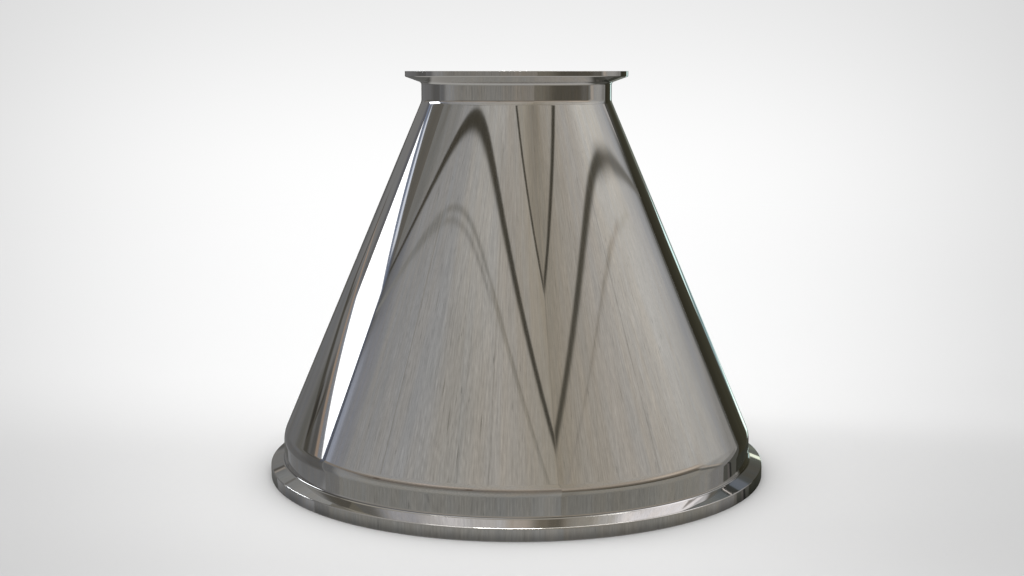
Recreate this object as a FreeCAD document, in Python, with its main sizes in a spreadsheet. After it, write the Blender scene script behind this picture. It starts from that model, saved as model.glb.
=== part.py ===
"""Concentric pipe reducer with a clamp ferrule on each end, as one polished steel shell.

The part stands on its large end. The origin is the centre of the large end's face, and +Z runs
along the flow axis to the small end. Every length is in millimetres and every angle in degrees.
"""

import FreeCAD
import Part
import Sketcher

import enum
import math
import os

# Each driving dimension: the name of its cell, its value, and what it measures.
DIMENSIONS = [
    ("overall_length", 215.9, "from the large end's face to the small end's face"),
    ("wall_thickness", 2.11, "of the formed sheet, the same in the cone and in both necks"),
    ("large_neck_diameter", 254.0, "outside of the short straight neck at the large end"),
    ("small_neck_diameter", 101.6, "outside of the short straight neck at the small end"),
    ("large_neck_height", 13.0, "from the foot of the rim's bevel to the corner with the cone"),
    ("small_neck_height", 9.75, "from the foot of the rim's bevel to the corner with the cone"),
    ("large_rim_step", 7.24, "how far the large rim stands out from its neck"),
    ("small_rim_step", 8.66, "how far the small rim stands out from its neck"),
    ("large_rim_thickness", 6.35, "of the large rim at its outer edge"),
    ("small_rim_thickness", 2.85, "of the small rim at its outer edge"),
    ("clamp_bevel_angle", 20.0, "slope of both rims' backs, where a clamp's jaws bear"),
    ("large_bend_radius", 12.7, "of the bend between neck and cone, on the shell's inside"),
    ("small_bend_radius", 6.4, "of the bend between neck and cone, on the shell's outside"),
    ("neck_root_radius", 1.6, "of the fillet where a rim's bevel meets its neck"),
    ("rim_back_radius", 0.6, "of the rounded edge between a rim's side and its bevel"),
    ("rim_face_radius", 0.25, "of the broken edge between a rim's side and its face"),
    ("gasket_groove_radius", 1.6, "of the half-round groove in each end face"),
    ("large_groove_inset", 4.95, "from the large rim's side in to the middle of its groove"),
    ("small_groove_inset", 4.3, "from the small rim's side in to the middle of its groove"),
]

FULL_TURN = 360.0
# How far a ring-shaped edge may lie from the corner of the section that it is looked up by.
EDGE_MATCH = 0.02


class Vertex(enum.IntEnum):
    """The sketcher's numbers for the ends of a line and the middle of a circle."""

    START = 1
    END = 2
    MIDDLE = 3


# The sketcher's number for a sketch's own x axis, whose start is the sketch's origin.
X_AXIS = -1
ORIGIN_POINT = (X_AXIS, Vertex.START)

document = FreeCAD.newDocument("pipe_reducer")


def make_sheet(dimensions):
    """Writes the driving dimensions into a spreadsheet, one named cell to a row."""
    sheet = document.addObject("Spreadsheet::Sheet", "sizes")
    for row, (name, value, meaning) in enumerate(dimensions, start=1):
        sheet.set(f"A{row}", str(value))
        sheet.setAlias(f"A{row}", name)
        sheet.set(f"B{row}", meaning)
    document.recompute()
    return sheet


sizes = make_sheet(DIMENSIONS)


def size(name):
    """The value of one driving dimension, read from the sheet."""
    return float(sizes.get(name))


def origin_plane(body, role):
    """One of the body's own origin planes, found by its role."""
    return next(item for item in body.Origin.OriginFeatures if item.Role == role)


def make_sketch(body, name):
    """An empty sketch on the body's XZ plane: its x is the radius and its y the height."""
    sketch = body.newObject("Sketcher::SketchObject", name)
    sketch.AttachmentSupport = (origin_plane(body, "XZ_Plane"), [""])
    sketch.MapMode = "FlatFace"
    return sketch


def constrain(sketch, kind, *where, name=None, formula=None, value=None):
    """Adds one constraint, and ties its value to the sheet where a formula is given."""
    parts = (*where, value) if value is not None else where
    number = sketch.addConstraint(Sketcher.Constraint(kind, *parts))
    if name:
        sketch.renameConstraint(number, name)
        sketch.setExpression(f"Constraints.{name}", formula)


def corner_points():
    """The section's twelve sharp corners as radius and height, from the sheet's values.

    They go round the wall: out along the large face, up the outside to the small face, and
    down the inside. The sketch's constraints then hold them there.
    """
    wall = size("wall_thickness")
    length = size("overall_length")
    slope = math.tan(math.radians(size("clamp_bevel_angle")))
    large_neck = size("large_neck_diameter") / 2
    small_neck = size("small_neck_diameter") / 2
    large_rim = large_neck + size("large_rim_step")
    small_rim = small_neck + size("small_rim_step")
    large_foot = size("large_rim_thickness") + size("large_rim_step") * slope
    small_foot = length - size("small_rim_thickness") - size("small_rim_step") * slope
    large_corner = large_foot + size("large_neck_height")
    small_corner = small_foot - size("small_neck_height")
    half_angle = math.atan2(large_neck - small_neck, small_corner - large_corner)
    inside_drop = wall * math.tan(half_angle / 2)
    return {
        "large_bore_face": (large_neck - wall, 0.0),
        "large_rim_face": (large_rim, 0.0),
        "large_rim_back": (large_rim, size("large_rim_thickness")),
        "large_foot": (large_neck, large_foot),
        "large_corner": (large_neck, large_corner),
        "small_corner": (small_neck, small_corner),
        "small_foot": (small_neck, small_foot),
        "small_rim_back": (small_rim, length - size("small_rim_thickness")),
        "small_rim_face": (small_rim, length),
        "small_bore_face": (small_neck - wall, length),
        "small_corner_inside": (small_neck - wall, small_corner - inside_drop),
        "large_corner_inside": (large_neck - wall, large_corner - inside_drop),
    }


def draw_wall(body):
    """The shell's section with sharp corners, fully constrained and bound to the sheet."""
    sketch = make_sketch(body, "wall_section")
    points = corner_points()
    names = list(points)
    line = {}
    for number, start in enumerate(names):
        end = names[(number + 1) % len(names)]
        ends = [FreeCAD.Vector(*points[corner], 0) for corner in (start, end)]
        line[start] = sketch.addGeometry(Part.LineSegment(*ends), False)
    for number, start in enumerate(names):
        following = names[(number + 1) % len(names)]
        constrain(sketch, "Coincident", line[start], Vertex.END, line[following], Vertex.START)

    for start in ("large_bore_face", "small_rim_face"):
        constrain(sketch, "Horizontal", line[start])
    upright = ("large_rim_face", "large_foot", "small_corner", "small_rim_back")
    for start in (*upright, "small_bore_face", "large_corner_inside"):
        constrain(sketch, "Vertical", line[start])
    constrain(sketch, "PointOnObject", line["large_bore_face"], Vertex.START, X_AXIS)

    def across(name, corner, formula):
        """Holds a corner at a radius from the axis."""
        place = (*ORIGIN_POINT, line[corner], Vertex.START)
        constrain(sketch, "DistanceX", *place, name=name, formula=formula, value=points[corner][0])

    def rise(name, low, high, formula):
        """Holds the height between two corners."""
        place = (line[low], Vertex.START, line[high], Vertex.START)
        step = points[high][1] - points[low][1]
        constrain(sketch, "DistanceY", *place, name=name, formula=formula, value=step)

    across("large_neck_radius", "large_foot", "sizes.large_neck_diameter / 2")
    across("small_neck_radius", "small_corner", "sizes.small_neck_diameter / 2")
    large_rim = "sizes.large_neck_diameter / 2 + sizes.large_rim_step"
    small_rim = "sizes.small_neck_diameter / 2 + sizes.small_rim_step"
    across("large_rim_radius", "large_rim_face", large_rim)
    across("small_rim_radius", "small_rim_back", small_rim)
    across("large_bore", "large_bore_face", "sizes.large_neck_diameter / 2 - sizes.wall_thickness")
    across("small_bore", "small_bore_face", "sizes.small_neck_diameter / 2 - sizes.wall_thickness")

    slope = "tan(sizes.clamp_bevel_angle * 1 deg)"
    rise("large_rim", "large_rim_face", "large_rim_back", "sizes.large_rim_thickness")
    rise("large_bevel", "large_rim_back", "large_foot", f"sizes.large_rim_step * {slope}")
    rise("large_neck", "large_foot", "large_corner", "sizes.large_neck_height")
    rise("length", "large_rim_face", "small_rim_face", "sizes.overall_length")
    rise("small_rim", "small_rim_back", "small_rim_face", "sizes.small_rim_thickness")
    rise("small_bevel", "small_foot", "small_rim_back", f"sizes.small_rim_step * {slope}")
    rise("small_neck", "small_corner", "small_foot", "sizes.small_neck_height")

    cone_outside = line["large_corner"]
    cone_inside = line["small_corner_inside"]
    constrain(sketch, "Parallel", cone_outside, cone_inside)
    place = (cone_inside, Vertex.START, cone_outside)
    wall = {"formula": "sizes.wall_thickness", "value": size("wall_thickness")}
    constrain(sketch, "Distance", *place, name="cone_wall", **wall)
    return sketch


def turn(body, kind, name, sketch):
    """Turns a sketch once round the Z axis: a Revolution adds the wall, a Groove cuts one."""
    feature = body.newObject(f"PartDesign::{kind}", name)
    feature.Profile = sketch
    feature.ReferenceAxis = (sketch, ["V_Axis"])
    feature.Angle = FULL_TURN
    document.recompute()
    return feature


def cut_gasket_groove(body, end):
    """The half-round groove in one end's face that holds the gasket's bead."""
    sketch = make_sketch(body, f"{end}_groove_section")
    rim_radius = size(f"{end}_neck_diameter") / 2 + size(f"{end}_rim_step")
    middle = rim_radius - size(f"{end}_groove_inset")
    height = size("overall_length") if end == "small" else 0.0
    centre = FreeCAD.Vector(middle, height, 0)
    bead = Part.Circle(centre, FreeCAD.Vector(0, 0, 1), size("gasket_groove_radius"))
    circle = sketch.addGeometry(bead, False)

    radius = {"formula": "sizes.gasket_groove_radius", "value": size("gasket_groove_radius")}
    constrain(sketch, "Radius", circle, name="bead_radius", **radius)
    rim = f"sizes.{end}_neck_diameter / 2 + sizes.{end}_rim_step - sizes.{end}_groove_inset"
    place = (*ORIGIN_POINT, circle, Vertex.MIDDLE)
    constrain(sketch, "DistanceX", *place, name="middle", formula=rim, value=middle)
    if end == "small":
        face = {"formula": "sizes.overall_length", "value": height}
        constrain(sketch, "DistanceY", *place, name="face", **face)
    else:
        constrain(sketch, "PointOnObject", circle, Vertex.MIDDLE, X_AXIS)

    before = body.Shape.Volume
    groove = turn(body, "Groove", f"{end}_gasket_groove", sketch)
    if not groove.Shape.Volume < before:
        raise RuntimeError(f"{groove.Label} cuts nothing")


def ring_edges(feature, corners):
    """Names of the round edges that run through these corners of the section."""
    found = []
    for number, edge in enumerate(feature.Shape.Edges, start=1):
        if not isinstance(edge.Curve, Part.Circle):
            continue
        ring = (edge.Curve.Radius, edge.Curve.Center.z)
        if any(math.dist(ring, corner) < EDGE_MATCH for corner in corners):
            found.append(f"Edge{number}")
    if len(found) != len(corners):
        raise RuntimeError(f"{feature.Label} has {len(found)} of {len(corners)} edges")
    return found


def round_edges(body, name, corners, formula):
    """Rounds the ring-shaped edges at these corners to a radius from the sheet."""
    base = body.Tip
    points = corner_points()
    fillet = body.newObject("PartDesign::Fillet", name)
    fillet.Base = (base, ring_edges(base, [points[corner] for corner in corners]))
    fillet.setExpression("Radius", formula)
    document.recompute()


def make_reducer():
    """The whole shell: the turned wall, its bends and edges, and a groove in each face."""
    body = document.addObject("PartDesign::Body", "reducer_body")
    body.Label = "reducer_body"
    turn(body, "Revolution", "wall", draw_wall(body))
    wall = "sizes.wall_thickness"
    large_bend = "sizes.large_bend_radius"
    small_bend = "sizes.small_bend_radius"
    round_edges(body, "large_bend_inside", ["large_corner_inside"], large_bend)
    round_edges(body, "large_bend_outside", ["large_corner"], f"{large_bend} + {wall}")
    round_edges(body, "small_bend_outside", ["small_corner"], small_bend)
    round_edges(body, "small_bend_inside", ["small_corner_inside"], f"{small_bend} + {wall}")
    round_edges(body, "neck_roots", ["large_foot", "small_foot"], "sizes.neck_root_radius")
    backs = ["large_rim_back", "small_rim_back"]
    round_edges(body, "rim_back_edges", backs, "sizes.rim_back_radius")
    faces = ["large_rim_face", "small_rim_face"]
    round_edges(body, "rim_face_edges", faces, "sizes.rim_face_radius")
    for end in ("large", "small"):
        cut_gasket_groove(body, end)
    return body


def check(document):
    """Stops the script if any object of the document failed to build."""
    for item in document.Objects:
        if "Invalid" in item.State or "Error" in item.State:
            raise RuntimeError(f"{item.Label} failed: {item.State}")


def export(body):
    """Writes the body's solid to parts/, under its label."""
    shape = body.Shape
    if shape.isNull() or not shape.isValid() or len(shape.Solids) != 1:
        raise RuntimeError(f"{body.Label} is not one valid solid")
    os.makedirs("parts", exist_ok=True)
    shape.exportStep(f"parts/{body.Label}.step")
    box = shape.optimalBoundingBox(False)
    print(f"{body.Label}: {box.XLength:.2f} x {box.YLength:.2f} x {box.ZLength:.2f} mm,")
    print(f"  {shape.Volume / 1000:.1f} cm3, {len(shape.Faces)} faces")


reducer = make_reducer()
document.recompute()
check(document)
export(reducer)
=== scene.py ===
"""Dress the concentric pipe reducer: one mirror-polished steel shell that reflects a concrete room.

The shell is worked out as a lathe surface from the reducer's own section. The room is stage geometry
that only reflections see. The pale floor, the soft light and the camera complete the picture.
Lengths are in metres and angles in degrees. An azimuth of 0 looks from the axis towards the camera,
along -Y, and it grows towards +X.
"""

import enum
import logging
import math
from dataclasses import dataclass, field

import bpy
import numpy as np
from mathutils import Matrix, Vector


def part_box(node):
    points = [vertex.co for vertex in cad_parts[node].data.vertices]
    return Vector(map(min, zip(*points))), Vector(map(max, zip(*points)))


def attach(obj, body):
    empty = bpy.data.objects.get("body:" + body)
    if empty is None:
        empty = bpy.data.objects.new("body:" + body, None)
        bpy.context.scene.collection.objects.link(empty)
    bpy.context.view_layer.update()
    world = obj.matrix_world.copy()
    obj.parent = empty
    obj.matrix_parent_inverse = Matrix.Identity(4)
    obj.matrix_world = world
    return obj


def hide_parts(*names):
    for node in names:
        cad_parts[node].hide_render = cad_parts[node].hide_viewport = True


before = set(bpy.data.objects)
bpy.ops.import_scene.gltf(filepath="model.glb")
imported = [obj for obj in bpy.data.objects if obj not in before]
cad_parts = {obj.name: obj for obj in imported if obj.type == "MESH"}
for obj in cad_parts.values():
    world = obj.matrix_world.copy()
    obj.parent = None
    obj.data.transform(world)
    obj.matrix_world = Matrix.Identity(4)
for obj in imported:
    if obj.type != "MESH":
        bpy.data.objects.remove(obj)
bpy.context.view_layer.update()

LOG = logging.getLogger("reducer")
NODE = "reducer_body"
BODY = "root"
MM = 0.001
RELIEF = 0.02 * MM

Triple = tuple[float, float, float]
Ramp = tuple[float, float, float, float]
Colour = Triple
Socket = bpy.types.NodeSocket
Value = float | Socket


def along_wall(azimuth: float) -> np.ndarray:
    """Return the level direction that runs along a wall facing an azimuth, as a unit vector."""
    angle = math.radians(azimuth)
    return np.array([math.cos(angle), math.sin(angle), 0.0])


def towards(azimuth: float) -> np.ndarray:
    """Return the level direction of an azimuth, as a unit vector."""
    angle = math.radians(azimuth)
    return np.array([math.sin(angle), -math.cos(angle), 0.0])


class Painter:
    """Wires the shader nodes of one material, so that a finish reads as a sum.

    Every method takes numbers or sockets and returns the socket that holds its result.
    """

    def __init__(self, name: str) -> None:
        """Make an empty node material.

        Args:
            name: the material's name.
        """
        self.material = bpy.data.materials.new(name)
        self.material.use_nodes = True
        self.tree = self.material.node_tree
        self.tree.nodes.clear()

    def node(self, kind: str, **settings: object) -> bpy.types.Node:
        """Add a node.

        Args:
            kind: the node's type name.
            settings: properties to set on it.

        Returns:
            The new node.
        """
        made = self.tree.nodes.new(kind)
        for key, value in settings.items():
            setattr(made, key, value)
        return made

    def feed(self, socket: Socket, value: Value | Colour) -> None:
        """Link a socket to another one, or set its constant.

        Args:
            socket: the input to fill.
            value: a socket, a number or a colour.
        """
        if isinstance(value, Socket):
            self.tree.links.new(value, socket)
        elif isinstance(value, tuple) and socket.type == "RGBA":
            socket.default_value = (*value, 1.0)
        else:
            socket.default_value = value

    def math(self, operation: str, *values: Value) -> Socket:
        """Return the result of one arithmetic step.

        Args:
            operation: the step's name.
            values: its numbers or sockets, in order.

        Returns:
            The result.
        """
        made = self.node("ShaderNodeMath", operation=operation)
        for socket, value in zip(made.inputs, values):
            self.feed(socket, value)
        return made.outputs[0]

    def scaled(self, vector: Socket, factors: Triple) -> Socket:
        """Return a vector multiplied by three factors.

        Args:
            vector: the vector.
            factors: one factor for each part.

        Returns:
            The scaled vector.
        """
        made = self.node("ShaderNodeVectorMath", operation="MULTIPLY")
        self.feed(made.inputs[0], vector)
        made.inputs[1].default_value = factors
        return made.outputs[0]

    def split(self, vector: Socket) -> tuple[Socket, Socket, Socket]:
        """Return a vector's three parts.

        Args:
            vector: the vector.

        Returns:
            Its x, y and z.
        """
        made = self.node("ShaderNodeSeparateXYZ")
        self.feed(made.inputs[0], vector)
        return made.outputs[0], made.outputs[1], made.outputs[2]

    def joined(self, x: Value, y: Value, z: Value) -> Socket:
        """Return a vector made from three parts.

        Args:
            x: the first part.
            y: the second part.
            z: the third part.

        Returns:
            The vector.
        """
        made = self.node("ShaderNodeCombineXYZ")
        for socket, value in zip(made.inputs, (x, y, z)):
            self.feed(socket, value)
        return made.outputs[0]

    def noise(self, vector: Socket, scale: float, detail: float = 2.0) -> Socket:
        """Return soft noise from 0 to 1, centred on 0.5.

        Args:
            vector: where to read it.
            scale: how many grains to the unit.
            detail: how many finer layers.

        Returns:
            The noise.
        """
        made = self.node("ShaderNodeTexNoise")
        self.feed(made.inputs["Vector"], vector)
        made.inputs["Scale"].default_value = scale
        made.inputs["Detail"].default_value = detail
        return made.outputs["Fac"]

    def ramp(self, value: Value, low: float, high: float, start: float = 0.0, stop: float = 1.0) -> Socket:
        """Return a smooth step from start to stop as the value goes from low to high.

        Args:
            value: what drives the step.
            low: where it starts.
            high: where it ends.
            start: the result below low.
            stop: the result above high.

        Returns:
            The step.
        """
        made = self.node("ShaderNodeMapRange", interpolation_type="SMOOTHSTEP")
        for socket, number in zip(made.inputs, (value, low, high, start, stop)):
            self.feed(socket, number)
        return made.outputs[0]

    def mix(self, factor: Value, first: Value | Colour, second: Value | Colour) -> Socket:
        """Return a blend of two colours.

        Args:
            factor: share of the second colour.
            first: the first colour.
            second: the second colour.

        Returns:
            The blend.
        """
        made = self.node("ShaderNodeMix", data_type="RGBA", clamp_factor=True)
        self.feed(made.inputs[0], factor)
        self.feed(made.inputs[6], first)
        self.feed(made.inputs[7], second)
        return made.outputs[2]

    def product(self, first: Value | Colour, second: Value | Colour) -> Socket:
        """Return two colours multiplied part by part.

        Args:
            first: the first colour.
            second: the second colour.

        Returns:
            The product.
        """
        made = self.node("ShaderNodeVectorMath", operation="MULTIPLY")
        self.feed(made.inputs[0], first)
        self.feed(made.inputs[1], second)
        return made.outputs[0]

    def tinted(self, colour: Value | Colour, factor: Value) -> Socket:
        """Return a colour times a number.

        Args:
            colour: the colour.
            factor: the number.

        Returns:
            The product.
        """
        made = self.node("ShaderNodeVectorMath", operation="SCALE")
        if isinstance(colour, tuple):
            made.inputs[0].default_value = colour
        else:
            self.feed(made.inputs[0], colour)
        self.feed(made.inputs[3], factor)
        return made.outputs[0]

    def output(self, surface: Socket) -> bpy.types.Material:
        """Finish the material with its surface shader.

        Args:
            surface: the shader.

        Returns:
            The finished material.
        """
        made = self.node("ShaderNodeOutputMaterial")
        self.tree.links.new(surface, made.inputs["Surface"])
        return self.material

    def distance(self, x: Socket, y: Socket) -> Socket:
        """Return the distance from the axis, the square root of x^2 + y^2.

        Args:
            x: the first level coordinate.
            y: the second level coordinate.

        Returns:
            The distance.
        """
        squares = self.math("ADD", self.math("POWER", x, 2.0), self.math("POWER", y, 2.0))
        return self.math("SQRT", squares)

    def metal(
        self,
        colour: Value | Colour,
        roughness: Socket,
        height: Socket,
        depth: float,
        anisotropy: float = 0.0,
    ) -> bpy.types.Material:
        """Finish the material as a bare metal with a fine relief.

        Args:
            colour: the metal's colour.
            roughness: its roughness.
            height: the relief, from 0 to 1.
            depth: how strongly the relief shows.
            anisotropy: how far the gleam is drawn out across the brushing.

        Returns:
            The finished material.
        """
        bump = self.node("ShaderNodeBump")
        bump.inputs["Strength"].default_value = depth
        bump.inputs["Distance"].default_value = RELIEF
        self.feed(bump.inputs["Height"], height)
        shader = self.node("ShaderNodeBsdfPrincipled")
        shader.inputs["Metallic"].default_value = 1.0
        shader.inputs["Anisotropic"].default_value = anisotropy
        self.feed(shader.inputs["Base Color"], colour)
        self.feed(shader.inputs["Roughness"], roughness)
        self.feed(shader.inputs["Normal"], bump.outputs[0])
        return self.output(shader.outputs[0])


def placed(name: str, data: bpy.types.ID) -> bpy.types.Object:
    """Make an object from its data and put it in the scene.

    Args:
        name: the object's name.
        data: its mesh, lamp or camera.

    Returns:
        The object, at the origin.
    """
    made = bpy.data.objects.new(name, data)
    bpy.context.scene.collection.objects.link(made)
    return made


@dataclass(frozen=True)
class PolishedSteel:
    """Mirror-polished outside: a bright metal with faint polishing lines that run from end to end."""

    colour: Colour = (0.62, 0.605, 0.58)
    roughness: float = 0.022
    line_roughness: float = 0.02
    lines_round: float = 90.0
    line_stretch: float = 2.0
    line_depth: float = 0.008
    wipe_scale: float = 14.0
    wipe_tone: float = 0.97
    # Painted shade: the large rim's edge is darker towards its foot, and a thin dark line lies in the crease
    # at the large neck's root.
    foot_start: float = 0.4 * MM
    foot_stop: float = 6.0 * MM
    foot_shade_tone: float = 0.47
    root_shade_tone: float = 0.45
    root_radius: float = 128.3 * MM
    root_fade: float = 0.4 * MM
    root_height: float = 9.25 * MM
    root_below: tuple[float, float] = (0.35 * MM, 0.10 * MM)
    root_above: tuple[float, float] = (0.15 * MM, 0.40 * MM)

    def painted_shade(self, paint: Painter, radius: Socket, z: Socket) -> Socket:
        """Return the factor of painted shade on the metal's colour.

        The large rim's edge darkens from its top, at 6.35 mm, down to its foot, as painted shade, and a thin
        dark line of painted shade follows the crease at the root where the large neck meets its rim.

        Args:
            paint: the material's painter.
            radius: distance from the axis.
            z: height above the large end's face.

        Returns:
            The factor for the metal's colour.
        """
        height = self.root_height
        # Painted shade, darker towards the large rim's foot.
        foot = paint.ramp(z, self.foot_start, self.foot_stop, self.foot_shade_tone, 1.0)
        # Painted shade in a thin line along the crease at the large neck's root.
        low = paint.ramp(z, height - self.root_below[0], height - self.root_below[1])
        high = paint.ramp(z, height + self.root_above[0], height + self.root_above[1], 1.0, 0.0)
        near = paint.ramp(radius, self.root_radius, self.root_radius + self.root_fade, 1.0, 0.0)
        root = paint.math("MULTIPLY", paint.math("MULTIPLY", low, high), near)
        return paint.math("MULTIPLY", foot, paint.math("MULTIPLY_ADD", root, self.root_shade_tone - 1.0, 1.0))

    def build(self) -> bpy.types.Material:
        """Build the material.

        The polishing lines are noise on the direction round the axis, (x, y) / hypot(x, y), which is
        stretched along Z, so each line follows the wall from one end to the other.

        Returns:
            The finished material.
        """
        paint = Painter("polished_steel_outside")
        place = paint.node("ShaderNodeTexCoord").outputs["Object"]
        x, y, z = paint.split(place)
        radius = paint.distance(x, y)
        spot = paint.joined(
            paint.math("MULTIPLY", paint.math("DIVIDE", x, radius), self.lines_round),
            paint.math("MULTIPLY", paint.math("DIVIDE", y, radius), self.lines_round),
            paint.math("MULTIPLY", z, self.line_stretch),
        )
        lines = paint.noise(spot, 1.0, 4.0)
        wipe = paint.noise(place, self.wipe_scale, 3.0)
        wear = paint.math("MULTIPLY", lines, wipe)
        wiped = tuple(self.wipe_tone * part for part in self.colour)
        # The colour carries the painted shade at the large rim's foot and in the root crease.
        colour = paint.tinted(paint.mix(wipe, self.colour, wiped), self.painted_shade(paint, radius, z))
        roughness = paint.math("MULTIPLY_ADD", wear, self.line_roughness * 2, self.roughness)
        return paint.metal(colour, roughness, lines, self.line_depth)


@dataclass(frozen=True)
class SatinSteel:
    """Duller inside: brushed round the bore, so its lines lie level."""

    colour: Colour = (0.60, 0.585, 0.56)
    roughness: float = 0.24
    spread: float = 0.14
    rings_per_metre: float = 2600.0
    ring_drift: float = 22.0
    depth: float = 0.25
    cloud_scale: float = 9.0
    cloud_tone: float = 0.92
    anisotropy: float = 0.4

    def build(self) -> bpy.types.Material:
        """Build the material.

        The brushing is noise on (x, y, z) that is squeezed along Z, so each scratch is a level ring.

        Returns:
            The finished material.
        """
        paint = Painter("satin_steel_inside")
        place = paint.node("ShaderNodeTexCoord").outputs["Object"]
        squeeze = (self.ring_drift, self.ring_drift, self.rings_per_metre)
        rings = paint.noise(paint.scaled(place, squeeze), 1.0, 3.0)
        cloud = paint.noise(place, self.cloud_scale, 3.0)
        colour = paint.mix(cloud, self.colour, tuple(self.cloud_tone * part for part in self.colour))
        roughness = paint.math("MULTIPLY_ADD", rings, self.spread, self.roughness)
        return paint.metal(colour, roughness, rings, self.depth, self.anisotropy)


@dataclass(frozen=True)
class TurnedSteel:
    """The end faces and their gasket grooves: fine rings left by a turning tool."""

    colour: Colour = (0.60, 0.59, 0.57)
    roughness: float = 0.2
    spread: float = 0.1
    rings_per_metre: float = 3200.0
    ring_drift: float = 8.0
    depth: float = 0.35

    def build(self) -> bpy.types.Material:
        """Build the material.

        The tool's rings are noise on the distance from the axis, hypot(x, y), with a slow drift round
        it, so each ring is nearly a circle.

        Returns:
            The finished material.
        """
        paint = Painter("turned_steel_face")
        x, y, _ = paint.split(paint.node("ShaderNodeTexCoord").outputs["Object"])
        spot = paint.joined(
            paint.math("MULTIPLY", paint.distance(x, y), self.rings_per_metre),
            paint.math("MULTIPLY", x, self.ring_drift),
            paint.math("MULTIPLY", y, self.ring_drift),
        )
        rings = paint.noise(spot, 1.0, 2.0)
        roughness = paint.math("MULTIPLY_ADD", rings, self.spread, self.roughness)
        return paint.metal(self.colour, roughness, rings, self.depth)


class Finish(enum.IntEnum):
    """The three finishes of the shell, in the order of its material slots."""

    OUTSIDE = 0
    INSIDE = 1
    FACE = 2


@dataclass
class Corner:
    """One corner of the shell's section.

    Attributes:
        radius: distance from the axis.
        height: height above the large end's face.
        fillet: radius of the round that takes the corner's place.
        steps: how many straight steps the round is drawn with.
        rows: how many steps the straight stretch after the corner is drawn with.
        finish: the finish of the round and of the stretch after it.
    """

    radius: float
    height: float
    fillet: float
    steps: int
    rows: int
    finish: Finish


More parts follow.
